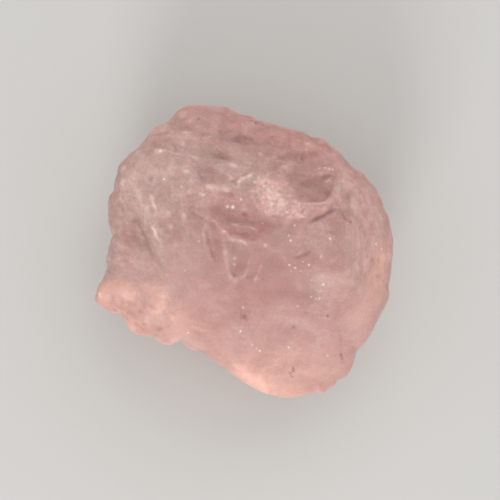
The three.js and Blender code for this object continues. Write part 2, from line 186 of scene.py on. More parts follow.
# Patches of the upper side: centre, half lengths, turn of the long axis in degrees, then how much they
# rise, how pale they are against the body, how frosted, and how warm. A minus means sunk, deeper or cooler.
BASIN_PATCHES = (
    ((1.8, 6.3), (2.4, 0.8), -12, 0.2, 0, 0, 0),
    ((3.2, 3.6), (2.3, 0.9), -8, -0.22, 0, 0, 0),
    ((0.1, 6.1), (0.7, 0.25), 22, 0.04, 0.45, 0.8, 0.1),
    ((-0.3, 5.5), (0.25, 0.5), 0, 0.03, 0.25, 0.4, 0),
)
PATCHES = (
    # beside the basin
    ((7.8, 4.9), (0.3, 0.45), 0, 0.03, 0.35, 0.2, 0),
    ((8.5, 5.8), (0.9, 0.7), -20, 0.05, 0.3, 0.2, -0.3),
    ((9.3, 5.6), (0.3, 0.25), 0, 0.02, 0.35, 0.2, 0),
    # beige ground and dark dips along the top
    ((-1.8, 7.7), (3.2, 1.3), -10, 0, 0, 0, -0.55),
    ((-0.3, 9.45), (1.4, 0.35), -5, -0.08, -0.6, 0, -0.1),
    ((0.4, 9.4), (0.5, 0.2), -5, -0.04, -0.25, 0, -0.1),
    ((4, 7.9), (1.9, 0.5), 2, -0.08, -0.45, 0, 0),
    ((6.2, 8.3), (1, 0.4), 30, -0.04, -0.25, 0, 0),
    ((-3.2, 9.85), (0.5, 0.35), 0, -0.05, -0.4, 0, 0),
    ((-1.3, 11.2), (0.8, 0.3), -15, -0.04, -0.25, 0, 0),
    ((-5.8, 8.75), (0.3, 0.25), 0, -0.02, -0.5, 0, 0.5),
    ((4.9, 6.45), (0.3, 0.2), 0, -0.03, -0.3, 0, 0),
    # pale lumps of the upper left
    ((-4.6, 10.9), (0.5, 0.35), 20, 0.06, 0.4, 0.2, 0),
    ((-4.9, 11.6), (0.4, 0.25), 20, 0.03, 0.25, 0.1, 0),
    ((-5.1, 10.05), (0.4, 0.2), -15, 0.04, 0.5, 0.2, -0.4),
    ((-7.6, 9), (0.45, 0.2), -20, -0.03, -0.35, 0, 0.1),
    ((-8.5, 8.5), (0.3, 0.3), 0, -0.02, -0.25, 0, 0),
    ((-10.1, 6.9), (0.4, 0.4), 0, 0.02, 0.3, 0.1, 0),
    ((-8.9, 6.25), (0.25, 0.2), 0, 0.02, 0.25, 0.1, 0),
    ((-4.65, 5.1), (0.25, 0.2), 0, 0.02, 0.3, 0.2, 0),
    ((-4.8, 6.65), (0.35, 0.25), 30, 0.04, 0.4, 0.3, 0),
    ((-2.7, 5.3), (0.8, 0.4), -8, 0.06, 0.5, 0.7, -0.2),
    ((-1.6, 5.3), (0.4, 0.3), -40, 0.03, 0.35, 0.4, 0),
    ((-3.5, 4.7), (0.3, 0.25), 0, 0.04, 0.4, 0.4, 0),
    ((-0.95, 7.2), (0.7, 0.22), -5, 0.04, 0.4, 0.3, -0.4),
    ((3.4, 6.9), (0.6, 0.2), -10, 0.02, 0.25, 0.2, 0),
    # The patch at (-7.1, 8.4) is the painted halo of the glint at (-7.05, 8.45).
    ((-7.1, 8.4), (0.35, 0.3), 0, 0.04, 0.45, 0.3, 0),
    ((-7.3, 7.7), (0.3, 0.3), 0, 0.02, 0.25, 0.2, 0),
    ((-9.3, 6.1), (0.4, 0.3), 0, 0.02, 0.25, 0.1, 0),
    ((-8.3, 6.2), (0.4, 0.25), 0, 0.02, 0.2, 0.1, -0.2),
    ((-4.4, 5.9), (0.3, 0.35), 20, 0.02, 0.25, 0.3, 0),
    ((-5.6, 8.9), (2.2, 1.1), 0, 0.03, 0.15, 0.1, -0.2),
    ((-6.6, 6.6), (3.5, 1.8), 0, 0.03, 0.22, 0.1, -0.1),
    # the trough below the basin
    ((-1, 2.65), (0.4, 0.25), 0, 0.05, 0.3, 0, 0),
    ((2.9, 2.1), (1, 0.3), 6, -0.03, -0.25, 0, 0.1),
    ((-4.4, 3.4), (1.3, 0.4), -35, -0.03, -0.25, 0, 0.1),
    ((-4.2, 2.4), (1.1, 0.8), -35, 0, -0.4, 0, 0),
    # the shield-shaped scar
    # The scar's patch at (0.6, -1.6) is its deeper colour, deepened further as painted shade; the patch at
    # (-5.5, 1) greys the middle of the left and darkens it a little as painted shade.
    ((0.6, -1.6), (5.5, 3.6), -8, 0, -0.46, 0, 0.05),
    ((-5.5, 1), (2.4, 2.4), 0, 0, -0.05, 0, -0.15),
    ((-0.9, 0.2), (0.4, 0.5), 0, -0.02, -0.25, 0, 0.1),
    ((-0.3, -1.1), (0.5, 0.6), 0, -0.02, -0.25, 0, 0.4),
    ((-0.7, 0.3), (0.3, 0.35), 0, -0.01, -0.2, 0, 0.2),
    ((-0.72, -2.5), (0.35, 0.3), 0, 0.03, 0.6, 0.2, 0),
    ((-3.5, 0.5), (0.3, 0.4), 0, -0.02, -0.25, 0, -0.2),
    ((1.15, -2.3), (0.3, 0.25), 0, 0.02, 0.35, 0.1, 0),
    # the gutter and the streaks of the left face
    ((-6.6, 1.3), (0.6, 0.4), -40, 0, 0.15, 0, -0.3),
    ((-9.6, 5.6), (1.2, 1.2), 70, 0.02, 0.15, 0, -0.2),
    # knuckles and pits of the left lobe
    ((-9.8, -4.3), (3.2, 2.2), 0, 0, -0.16, 0, 0),
    # painted highlight: the soft bright halo of the glint at the lobe's tip
    ((-12.1, -3.7), (0.35, 0.3), -40, 0.02, 0.6, 0.1, 0),
    ((-6.9, -3.8), (0.4, 0.3), 0, 0.03, 0.2, 0.1, 0.3),
    ((-7, -4.7), (0.5, 0.6), 0, 0.04, 0.1, 0.05, 0.4),
    ((-6, -5.6), (0.3, 0.3), 0, 0.05, 0.4, 0.1, 0.5),
    ((-9.4, -6.2), (0.5, 0.4), -40, 0.05, 0.2, 0.1, 0.4),
    ((-10.2, -4.5), (0.6, 0.25), -10, -0.03, -0.25, 0, 0),
    ((-8.7, -5), (0.25, 0.3), 20, -0.05, -0.4, 0, 0.3),
    ((-8.35, -6.2), (0.35, 0.2), -25, -0.05, -0.4, 0, 0.3),
    ((-7.15, -6.6), (0.5, 0.2), -10, -0.05, -0.5, 0, 0.3),
    ((-6.45, -6.35), (0.25, 0.2), 0, -0.02, -0.3, 0, 0.2),
    ((-6.6, -7.1), (0.3, 0.2), -20, -0.03, -0.4, 0, 0.2),
    ((-8.4, -6.8), (1.2, 0.4), -15, 0, -0.4, 0, 0.1),
    ((-11.5, -0.7), (0.4, 1.1), 0, 0, 0.35, 0, 0),
    # the bright bulge at the bottom and the lower flank
    # The first two patches paint a highlight on the bulge, where the key light falls, over its peach colour.
    ((0.9, -10.7), (1.3, 0.45), -32, 0.03, 0.3, 0.15, 0.3),
    ((0.9, -10.4), (2.2, 0.9), -32, 0.02, 0.17, 0, 0.4),
    ((3.6, -11.6), (1.8, 0.5), -8, 0.02, 0.05, 0, 0.4),
    ((6.4, -11.2), (0.9, 0.5), 10, 0, -0.2, 0, 0.1),
    ((3.2, -4.7), (0.6, 0.5), 0, 0.02, 0.15, 0.05, -0.3),
    ((4, -8.1), (0.35, 0.3), 0, 0.02, 0.25, 0.1, -0.4),
    ((4.8, -8.1), (0.25, 0.25), 0, 0.02, 0.25, 0, 0.1),
    ((8.8, -5.4), (0.4, 0.3), 0, 0.02, 0.2, 0, -0.1),
    ((8.8, -2.6), (0.5, 0.4), 0, 0.02, 0.25, 0, -0.1),
    ((3.8, -3.4), (1.8, 0.7), -8, -0.02, -0.35, 0, 0.1),
    ((0.2, -4.2), (3.8, 1.6), -5, -0.02, -0.36, 0, 0.5),
    ((5.5, -9), (3.4, 2), 0, 0, -0.2, 0, 0.2),
    ((2, -9.3), (3.4, 1.5), -20, 0, -0.2, 0, 0.2),
    ((-3.8, -6.3), (2.8, 1.5), -30, 0, -0.36, 0, 0.6),
    ((0, -5.5), (0.3, 0.3), 0, -0.02, -0.3, 0, 0),
    ((4.9, -9.6), (1.2, 0.7), 0, 0, -0.3, 0, 0.1),
    ((-5.6, -5.8), (1.4, 2.4), 0, 0, 0, 0, 0.5),
    ((4.2, -6.4), (0.35, 0.2), -5, -0.02, -0.4, 0, 0),
    # the right side
    ((10.5, -3.4), (1.8, 4.2), -10, 0, 0.32, 0, 0.6),
    ((11.6, -1.2), (0.9, 3.4), -3, 0, 0.1, 0, 0.6),
    ((8.1, -2.7), (0.9, 1.9), 0, 0, 0.35, 0, 0),
    ((6.1, -4.8), (1, 0.7), 0, 0, 0.3, 0, 0),
    ((3.4, 1.2), (1.4, 1.1), 0, 0, 0, 0, -0.35),
    ((6.6, 3.7), (0.6, 0.35), 20, 0, -0.35, 0, 0),
    ((3.8, 4.35), (1.1, 0.35), -5, 0, -0.4, 0, 0),
    # painted shade: the broad patches at (1, 10) and (-2, 8.2) darken the top, which faces away from the key
    # light
    ((1, 10), (7.5, 2.2), -14, 0, -0.34, 0, 0.25),
    ((4.6, 9), (2.6, 0.9), -16, 0, -0.3, 0, 0.4),
    ((-2, 8.2), (3, 1.5), 0, 0, -0.18, 0, 0),
    ((10.2, 3.2), (1.6, 3), -25, 0, 0.2, 0, 0.3),
    ((6.5, -0.4), (0.3, 0.5), 20, 0.02, 0.42, 0.1, 0),
    ((1.8, 1.4), (0.35, 0.25), 0, 0.02, 0.25, 0.1, -0.2),
    ((10.9, -0.5), (0.25, 1.2), 0, -0.02, -0.2, 0, 0),
    ((7.4, 1.6), (0.8, 0.3), -15, -0.02, -0.2, 0, 0),
)

# Strokes of the upper side: (x, y) points, half width, rise of the line, step (the left side of the line
# stands this much above the right side) and how pale the line is.
STROKES = (
    # lip and edges of the basin
    (((0.3, 4.1), (0.9, 3.8), (1.5, 3.4), (2.1, 3.08), (3, 2.98), (4.2, 2.78), (5.4, 2.95), (6.6, 3.5),
      (7.6, 4.1)), 0.15, 0.03, 0.1, 0.12),
    (((5.5, 2.3), (6.1, 2.65), (6.6, 2.95), (7.2, 3.25), (7.55, 3.4), (7.75, 3.6)), 0.17, -0.14, -0.05, -1),
    (((5.9, 2.35), (6.3, 2.3), (6.8, 2.15)), 0.1, 0.03, 0, 0.45),
    (((4.4, 4.1), (5.2, 4.02), (6.2, 3.98), (7, 4.12), (7.5, 4.6)), 0.13, 0.03, 0, 0.25),
    # painted highlight: a pale row where a line of small glints sparkles
    (((6.1, 7), (6.7, 7.02), (7.2, 6.95), (7.8, 6.85)), 0.13, 0.03, 0, 0.55),
    (((8.1, 3.5), (8.35, 3), (8.6, 2.65), (9.05, 2.4)), 0.13, -0.08, 0, -0.75),
    (((8.55, 3.5), (8.75, 3.2), (8.9, 2.95)), 0.08, -0.04, 0, -0.45),
    (((6.5, 5.9), (6.8, 6.2), (7.25, 6.4)), 0.18, -0.06, 0, -0.9),
    (((6.75, 5.8), (7.2, 5.85), (7.6, 5.65)), 0.1, 0.03, 0, 0.9),
    (((8.1, 4.95), (8.3, 4.5), (8.45, 4.2)), 0.09, -0.03, 0, -0.2),
    (((-2.3, 7), (-1.6, 6.65), (-1.1, 6.2), (-0.8, 5.9)), 0.13, 0.04, 0, 0.5),
    (((-0.6, 5.8), (-0.1, 6.1), (0.4, 6.35), (0.9, 6.5)), 0.18, 0.05, 0, 0.5),
    (((-0.5, 5.5), (-0.35, 4.9), (-0.25, 4.35)), 0.12, 0.03, 0, 0.35),
    # trough
    (((-3.3, 2.85), (-2.5, 2.5), (-2.05, 1.95), (-1.5, 1.5), (-1.1, 1.06), (-0.48, 0.92), (0, 0.73),
      (0.25, 0.48)), 0.14, 0.04, 0.03, 0.62),
    (((-1.15, 2.3), (-0.8, 2.27), (-0.35, 2.18)), 0.09, 0.03, 0, 0.9),
    (((-0.35, 2.18), (0, 2.12), (0.4, 2.02)), 0.08, 0.02, 0, 0.4),
    (((0.35, 2.05), (0.7, 1.95), (1.05, 1.75)), 0.11, 0.04, 0, 1),
    (((-0.9, 1.7), (0, 1.35), (0.6, 1.2), (1.2, 1.15), (1.9, 0.75)), 0.25, -0.04, 0, -0.3),
    (((-2.8, 3.4), (-1.6, 3), (-0.4, 2.75), (0.9, 2.55)), 0.3, 0, 0, 0),
    (((-5, 3.5), (-4.3, 3.2), (-3.7, 2.9), (-3.1, 2.45)), 0.11, -0.03, 0, -0.5),
    # shield-shaped scar
    (((-3.2, 2.1), (-3.05, 1.2), (-2.85, 0.3), (-2.55, -0.5), (-2.35, -0.95)), 0.13, -0.03, 0, -0.55),
    (((-3.6, 2.1), (-3.42, 1.6), (-3.35, 0.8), (-3.25, 0)), 0.1, 0.03, 0, 0.4),
    (((-1.75, 0.8), (-1.6, -0.2), (-1.4, -1.2), (-1.15, -2.1), (-0.75, -2.6)), 0.22, 0.02, 0, 0.58),
    (((0.78, -0.15), (0.45, -0.81), (0.32, -1.37), (0.1, -2), (-0.5, -2.4)), 0.13, 0.02, 0, 0.62),
    (((1.5, -0.8), (1.4, -1.25), (1.28, -1.8)), 0.12, 0.02, 0, 0.75),
    (((1.15, -1.95), (1, -2.3), (0.85, -2.6)), 0.13, 0.02, 0, 0.65),
    (((-1.05, -1.75), (-0.85, -2), (-0.6, -2.15)), 0.11, -0.05, 0, -0.6),
    (((1, -1.9), (0.6, -2.15), (0.1, -2.3)), 0.1, -0.03, 0, -0.4),
    # streaks and gutter of the left face
    (((-7.9, 5), (-7.75, 4.4), (-7.55, 3.8), (-7.3, 3.1)), 0.18, 0.02, 0, 1),
    (((-7.95, 2.35), (-7.7, 1.95), (-7.4, 1.35), (-7.05, 0.7)), 0.18, 0.02, 0, 1),
    (((-9, 2.8), (-8.65, 1.8), (-8.2, 0.8), (-7.85, 0), (-7.6, -0.5)), 0.18, -0.04, 0, -0.28),
    (((-9.25, 2.8), (-9.25, 1.8), (-9.15, 0.8)), 0.22, -0.03, 0, -0.25),
    (((-8.95, 5.3), (-8.75, 4.5), (-8.5, 3.6)), 0.16, 0.01, 0, 0.2),
    (((-10.8, 5.5), (-10.55, 4.9), (-10.3, 4.3)), 0.12, 0.02, 0, 0.35),
    (((-10.7, 4.1), (-10.35, 3.8), (-10.05, 3.45)), 0.18, -0.03, 0, -0.4),
    (((-8.5, 5), (-8.1, 5), (-7.8, 4.9)), 0.1, -0.02, 0, -0.35),
    (((-7.35, 3.1), (-7.15, 2.5), (-6.95, 1.8)), 0.08, -0.02, 0, -0.4),
    (((-7.85, -0.75), (-7.4, -1.2), (-7.1, -1.6)), 0.07, 0.02, 0, 0.4),
    (((-7.5, -0.6), (-7.15, -1), (-6.9, -1.4)), 0.06, -0.02, 0, -0.4),
    (((-7.05, 4.25), (-6.6, 4.2), (-6.3, 4.1)), 0.1, -0.02, 0, -0.4),
    # painted shade: the two small dents at the left edge, sunk a little and darkened
    (((-11.6, -0.85), (-11.35, -1), (-11.1, -1.2)), 0.12, -0.06, 0, -0.5),
    (((-11.45, -1.65), (-11.2, -1.85), (-10.95, -2.05)), 0.12, -0.06, 0, -0.5),
    # right side
    (((4, -0.62), (4.5, -0.53), (5.14, -0.27), (5.5, 0), (5.8, 0.28)), 0.17, -0.05, 0.04, -0.7),
    (((4.2, -0.25), (4.6, -0.15), (5, 0.1)), 0.1, 0.02, 0, 0.6),
    (((3.4, -0.15), (3.4, -0.5), (3.5, -0.9)), 0.14, 0.02, 0, 0.65),
    (((7, 1.65), (7.35, 1.5), (7.8, 1.45)), 0.1, -0.02, 0, -0.4),
    (((10.25, 1.5), (10.7, 0.1), (10.7, -1.3), (10.4, -2.3)), 0.14, -0.02, 0, -0.35),
    (((9.4, -0.55), (9.6, -1.4), (9.8, -1.8)), 0.12, 0.02, 0, 0.3),
    (((6.1, 1.75), (6.7, 1.7), (7.3, 1.5)), 0.16, -0.02, 0, -0.3),
    # top edge
    # painted shadow: a dark line beside the notch of the top edge, which is also sunk a little
    (((-8, 9.7), (-7.2, 9.85), (-6.2, 10)), 0.17, -0.05, -0.04, -0.7),
    (((-3.9, 8.4), (-2.9, 8.1), (-1.9, 7.85), (-0.7, 7.45)), 0.3, -0.03, 0, -0.25),
    (((2.3, 7.95), (3.6, 7.75), (4.8, 7.75), (5.9, 8.1), (6.8, 8.6)), 0.4, -0.03, 0, -0.2),
    (((-1.5, 7.25), (-0.95, 7.2), (-0.5, 7.15)), 0.13, 0.02, 0, 0.45),
    (((-3.85, 6.9), (-3.6, 6.3), (-3.2, 5.9)), 0.13, -0.03, 0, -0.45),
    # lower side
    (((-4.5, -6.3), (-3.9, -6.5), (-3.3, -6.75)), 0.17, 0.02, 0, 0.5),
    (((8, -6.5), (8.1, -7.3), (8.25, -8.3)), 0.12, -0.02, 0, -0.5),
    (((8.15, -8.4), (8.2, -8.85), (8.38, -9.5)), 0.13, -0.04, 0, -0.9),
    (((4.15, -9.7), (4.2, -10.15)), 0.12, -0.03, 0, -0.9),
    (((3.8, -10.2), (4, -10.65)), 0.12, -0.03, 0, -0.8),
    (((1.6, -2.95), (1.75, -3.3), (1.9, -3.65)), 0.06, -0.02, 0, -0.5),
    (((4.9, -9.5), (5.3, -9.25), (5.7, -8.9)), 0.09, 0.01, 0, 0.25),
    (((7, -8.6), (7.1, -8.9), (7.2, -9.1)), 0.05, 0.01, 0, 0.45),
    (((-9, -6.85), (-8.4, -6.9), (-7.9, -6.95)), 0.12, -0.03, 0, -0.3),
    (((-7, -3.6), (-7.02, -4.3)), 0.08, -0.02, 0, -0.8),
    (((-8.7, -3.1), (-8.55, -3.7), (-8.6, -4.2)), 0.25, -0.04, 0, -0.3),
    (((6.98, -5.25), (7.08, -5.65)), 0.09, -0.02, 0, -1),
    (((-0.1, -5), (0.1, -5.4), (-0.05, -5.9)), 0.12, -0.02, 0, -0.7),
    (((-0.45, -4.6), (-0.3, -5.1), (-0.35, -5.5)), 0.1, -0.02, 0, -0.55),
)

# Glinting points, painted as highlights, and dark specks on the upper side: x, y, radius, strength.
PAINTED_GLINTS = (
    (-6.75, 6.05, 0.073, 1), (-7.2, 5.8, 0.073, 0.34), (-5.25, 5.4, 0.079, 0.42), (-7.05, 8.45, 0.13, 0.6),
    (-4.75, 6.65, 0.079, 0.34), (-3.8, 0.82, 0.079, 0.47), (-5.05, 0, 0.066, 0.26), (-5, -1.6, 0.066, 0.26),
    (-0.25, 4.35, 0.092, 0.59), (-0.95, 3.72, 0.12, 0.95), (-1.4, 3.74, 0.13, 0.6),
    (-0.45, 5.85, 0.079, 0.51), (0.88, 5.82, 0.079, 0.59), (1.65, 5.5, 0.079, 0.51),
    (2.3, 4.05, 0.099, 0.59), (2.05, 4.6, 0.079, 0.42), (2.9, 3.95, 0.066, 0.34), (3.6, 3.3, 0.079, 0.51),
    (4.55, 3.1, 0.066, 0.34), (-2.8, 5.35, 0.079, 0.34), (1.55, 2.35, 0.073, 0.34),
    (-1.7, 1.68, 0.066, 0.38), (1.8, 0.5, 0.13, 0.4), (4.25, 2.18, 0.066, 0.59), (3.78, 1.33, 0.073, 0.51),
    (3.92, 0.9, 0.079, 0.9), (7.25, 1.05, 0.079, 0.85), (11.1, 0.62, 0.073, 0.59), (11.6, 0.2, 0.066, 0.47),
    (11.55, 1.65, 0.066, 0.3), (4.98, -0.88, 0.066, 0.42), (3.8, -1.16, 0.073, 0.85),
    (4.3, -1.4, 0.073, 0.85), (5.45, -1.15, 0.079, 0.68), (4.75, -1.68, 0.059, 0.3),
    (3.95, -1.65, 0.053, 0.34), (5.68, -2.42, 0.066, 0.42), (6.55, -2.5, 0.059, 0.3),
    (6.68, -2.8, 0.079, 0.9), (6.4, -3.4, 0.053, 0.26), (5.65, -3.82, 0.066, 0.55),
    (6.05, -4.02, 0.066, 0.42), (6.35, -4, 0.079, 0.59), (4.52, -4.62, 0.073, 0.47),
    (-0.08, -4.75, 0.073, 0.55), (0.7, -5.3, 0.066, 0.21), (-0.3, -6.73, 0.066, 0.95),
    (-4.72, -6.87, 0.066, 0.64), (0.68, -7.88, 0.073, 0.38), (1.05, -8.2, 0.066, 0.47),
    (1.33, -8.38, 0.073, 0.9), (3.76, -8.1, 0.079, 0.55), (7.05, -8.8, 0.066, 0.47), (6, -7, 0.053, 0.21),
    (-12.17, -3.6, 0.09, 0.7), (-12.12, -3.78, 0.08, 0.6), (6.35, 6.98, 0.059, 0.3),
    (6.8, 7.03, 0.066, 0.42), (7.2, 6.93, 0.066, 0.34), (7.45, 6.88, 0.059, 0.42), (-0.78, -0.6, 0.12, 0.35),
    (-0.82, -1.1, 0.12, 0.35), (6.5, -0.45, 0.079, 0.26), (-9.3, 6.1, 0.066, 0.26),
    (-3.45, 4.7, 0.079, 0.34),
)

# The specks at (-11.35, -1.75) and (-11.5, -0.9) are painted shade in two small dents at the left edge.
SPECKS_AND_DENT_SHADE = (
    (7.05, -5.45, 0.1, 0.75), (5.2, -5.2, 0.08, 0.35), (4.2, -6.4, 0.13, 0.3), (0, -5.55, 0.1, 0.5),
    (1.55, -2.35, 0.072, 0.5), (-8.75, -4.95, 0.12, 0.22), (-8.4, -6.15, 0.11, 0.15),
    (-7.2, -6.58, 0.14, 0.15), (-3.82, 11.15, 0.088, 0.6), (8.15, -8.7, 0.08, 0.6),
    (4.15, -9.86, 0.09, 0.65), (4.13, -10.06, 0.09, 0.65), (8.95, 2.45, 0.096, 0.5), (7.2, 6.3, 0.08, 0.4),
    (-11.35, -1.75, 0.096, 0.4), (-11.5, -0.9, 0.096, 0.4), (7.3, 1.58, 0.08, 0.3),
    (3.92, -10.27, 0.09, 0.65), (3.94, -10.45, 0.08, 0.5), (4.08, -10.55, 0.08, 0.4),
    (-0.22, -5.4, 0.08, 0.35), (-0.24, -5.68, 0.09, 0.4), (0.12, -5.75, 0.07, 0.3), (8.27, -9.03, 0.08, 0.4),
    (8.2, -8.86, 0.07, 0.4),
)


def add(tree, kind, inputs=None, **settings):
    """Adds a node, sets its properties, and links or sets its inputs by name or number."""
    node = tree.nodes.new(kind)
    for key, value in settings.items():
        setattr(node, key, value)
    for key, value in (inputs or {}).items():
        if isinstance(value, bpy.types.NodeSocket):
            tree.links.new(value, node.inputs[key])
        else:
            node.inputs[key].default_value = value
    return node


def calc(tree, operation, *values, clamp=False):
    """A Math node's output."""
    node = add(tree, "ShaderNodeMath", dict(enumerate(values)), operation=operation, use_clamp=clamp)
    return node.outputs[0]


def product(tree, first, *others):
    """The values multiplied with each other, from left to right."""
    for other in others:
        first = calc(tree, "MULTIPLY", first, other)
    return first


def weighted_sum(tree, *pairs):
    """The sum of each value times its weight."""
    total = 0.0
    for value, weight in pairs:
        total = calc(tree, "MULTIPLY_ADD", value, weight, total)
    return total


def vector_calc(tree, operation, a, b=None, scale=None):
    """A Vector Math node's vector."""
    inputs = {key: value for key, value in ((0, a), (1, b), ("Scale", scale)) if value is not None}
    return add(tree, "ShaderNodeVectorMath", inputs, operation=operation).outputs[0]


def length_of(tree, vector):
    """The length of a vector."""
    return add(tree, "ShaderNodeVectorMath", {0: vector}, operation="LENGTH").outputs["Value"]


def remap(tree, value, low, high, to_low=0.0, to_high=1.0, smooth=False):
    """A Map Range node's output."""
    ends = {"Value": value, "From Min": low, "From Max": high, "To Min": to_low, "To Max": to_high}
    kind = "SMOOTHSTEP" if smooth else "LINEAR"
    return add(tree, "ShaderNodeMapRange", ends, interpolation_type=kind).outputs["Result"]


def soft_fall(tree, distance, steepness):
    """1 at the middle, falling off in the shape of a bell."""
    return calc(tree, "EXPONENT", product(tree, distance, distance, -steepness))


def shifted(tree, where, noise, reach):
    """The place, moved to and fro by up to half the reach."""
    shift = vector_calc(tree, "SUBTRACT", noise, (0.5, 0.5, 0.5))
    return vector_calc(tree, "ADD", where, vector_calc(tree, "SCALE", shift, scale=reach))


def length(name, description, default):
    """A length property."""
    return FloatProperty(name=name, description=description, default=default, unit="LENGTH")


def colour(name, description, default):
    """A colour property."""
    return FloatVectorProperty(
        name=name, description=description, default=default, min=0.0, max=1.0, subtype="COLOR",
    )


def own_keys(group):
    """The keys of the values that a property group holds."""
    return [key for key in group.bl_rna.properties.keys() if key not in {"rna_type", "name"}]


class GEM_PG_stone(bpy.types.PropertyGroup):
    """Sizes of the stone's skin"""

    stroke_strength: FloatProperty(
        name="Edge strength", description="How strongly the edges and cracks of the upper side stand out",
        default=1.0, min=0.0, max=3.0, subtype="FACTOR",
    )
    stroke_wander: length("Edge wander", "How far the edges and cracks stray to and fro", 0.00025)
    lump_spacing: length("Lump spacing", "Distance between the worn lumps", 0.0021)
    lump_height: length("Lump height", "Height of the worn lumps", 0.00012)
    ripple_spacing: length("Ripple spacing", "Distance between the etched ripples", 0.00075)
    ripple_height: length("Ripple height", "Height of the etched ripples", 0.00008)
    grain_spacing: length("Grain spacing", "Distance between grains of the frosted skin", 0.0003)
    grain_height: length("Grain height", "Height of the grains where the skin is frosted", 0.00006)
    pit_spacing: length("Pit spacing", "Distance between small etched pits", 0.0011)
    pit_depth: length("Pit depth", "Depth of the etched pits", 0.00008)
    seed: IntProperty(name="Seed", description="Picks another pattern of wear", default=11)


class GEM_PG_colours(bpy.types.PropertyGroup):
    """Colours and finish of the stone"""

    body: colour("Body", "Colour of the milky pink beryl", (0.552, 0.326, 0.299))
    cool: colour("Cool veil", "Greyer, beige veils of the upper left", (0.56, 0.38, 0.345))
    warm: colour("Peach", "Peach of the lobe and the lower bulge", (0.71, 0.41, 0.345))
    deep: colour("Deep pink", "Deeper pink in hollows and cracks", (0.37, 0.178, 0.158))
    deep_red: colour("Deep red", "Redder pink of the hollows where the stone is peach", (0.4, 0.172, 0.155))
    veil: colour("White veil", "Whitish streaks, ridges and frost", (0.88, 0.66, 0.6))
    peach_light: colour("Pale peach", "Light ridges and crests where the stone is peach", (0.94, 0.59, 0.5))
    frost: colour("Frost", "Sugary frost of the basin", (0.99, 0.71, 0.63))
    # Painted highlight: the near-white colour of the glints.
    painted_glint: colour("Glint", "Points that glitter", (1.0, 0.92, 0.88))
    # Also the colour of the painted shade in two small dents at the left edge.
    speck_and_shade: colour("Speck", "Dark specks", (0.16, 0.05, 0.04))
    roughness: FloatProperty(
        name="Roughness", description="Satin of the etched skin", default=0.5, min=0.0, max=1.0,
        subtype="FACTOR",
    )
    glow_depth: length("Glow depth", "How far light spreads inside the stone", 0.0016)


class GEM_PG_stage(bpy.types.PropertyGroup):
    """Floor, lights and camera"""

    floor_colour: colour("Floor", "Colour of the pale floor", (0.64, 0.632, 0.615))
    frame_width: length("Frame width", "Width of the view at the stone's girth", 0.0421)
    aim: FloatVectorProperty(
        name="Aim", description="Point of the girth that the camera looks down on",
        default=tuple(value * MM for value in VIEW_AIM), size=2, unit="LENGTH",
    )
    lens: FloatProperty(name="Lens", description="Focal length in millimetres", default=100.0)
    key_energy: FloatProperty(
        name="Key light", description="Power of the soft key light", default=0.235, unit="POWER",
    )
    fill_energy: FloatProperty(
        name="Fill light", description="Power of the soft fill light", default=0.165, unit="POWER",
    )
    sky: FloatProperty(name="Sky", description="Strength of the pale surroundings", default=0.68)


def bell(distance):
    """1 at the middle, about 0.2 at a distance of 1."""
    return np.exp(-1.6 * distance**2)


def smoothstep(value, low, high):
    """0 below the low value, 1 above the high one, with a soft change between them."""
    t = np.clip((value - low) / (high - low), 0.0, 1.0)
    return t * t * (3.0 - 2.0 * t)


def fine_copy(node, levels):
    """A welded, subdivided copy of a CAD node, as a plain object."""
    mesh = node.data.copy()
    weld = bmesh.new()
    weld.from_mesh(mesh)
    bmesh.ops.remove_doubles(weld, verts=weld.verts, dist=1e-6)
    weld.to_mesh(mesh)
    weld.free()
    mesh.materials.clear()
    draft = bpy.data.objects.new("stone_draft", mesh)
    bpy.context.scene.collection.objects.link(draft)
    subdivision = draft.modifiers.new("Fine skin", "SUBSURF")
    subdivision.levels = subdivision.render_levels = levels
    bpy.context.view_layer.update()
    fine = bpy.data.meshes.new_from_object(draft.evaluated_get(bpy.context.evaluated_depsgraph_get()))
    draft.modifiers.remove(subdivision)
    draft.data = fine
    bpy.data.meshes.remove(mesh)
    return draft


def vectors_of(items, key):
    """One vector for each item of a mesh, as rows of an array."""
    values = np.zeros(len(items) * 3, np.float32)
    items.foreach_get(key, values)
    return values.reshape(-1, 3).astype(float)


def place(mesh, points):
    """Moves the vertices to the points, which are in millimetres."""
    mesh.vertices.foreach_set("co", (points * MM).astype(np.float32).ravel())
    mesh.update()


def outline_radius(points, turns):
    """Radius of the closed outline at each turn, on a smooth curve through the points."""
    b = np.array(points)
    a, c, d = np.roll(b, 1, axis=0), np.roll(b, -1, axis=0), np.roll(b, -2, axis=0)
    t = np.linspace(0.0, 1.0, CURVE_STEPS, endpoint=False)[:, None, None]
    square = (2.0 * a - 5.0 * b + 4.0 * c - d) * t**2
    cube = (3.0 * (b - c) + d - a) * t**3
    dense = (0.5 * (2.0 * b + (c - a) * t + square + cube)).reshape(-1, 2)
    angle = np.arctan2(dense[:, 1], dense[:, 0])
    radius = np.hypot(dense[:, 0], dense[:, 1])
    order = np.argsort(angle)
    return np.interp(turns, angle[order], radius[order], period=2.0 * math.pi)


def as_seen(points):
    """Where the camera sees the points, as x and y on the plane of the girth."""
    nearness = 1.0 / (1.0 - (points[:, 2] - GIRTH_HEIGHT) / VIEW_HEIGHT)
    x, y = (aim + (points[:, axis] - aim) * nearness for axis, aim in enumerate(VIEW_AIM))
    return x, y


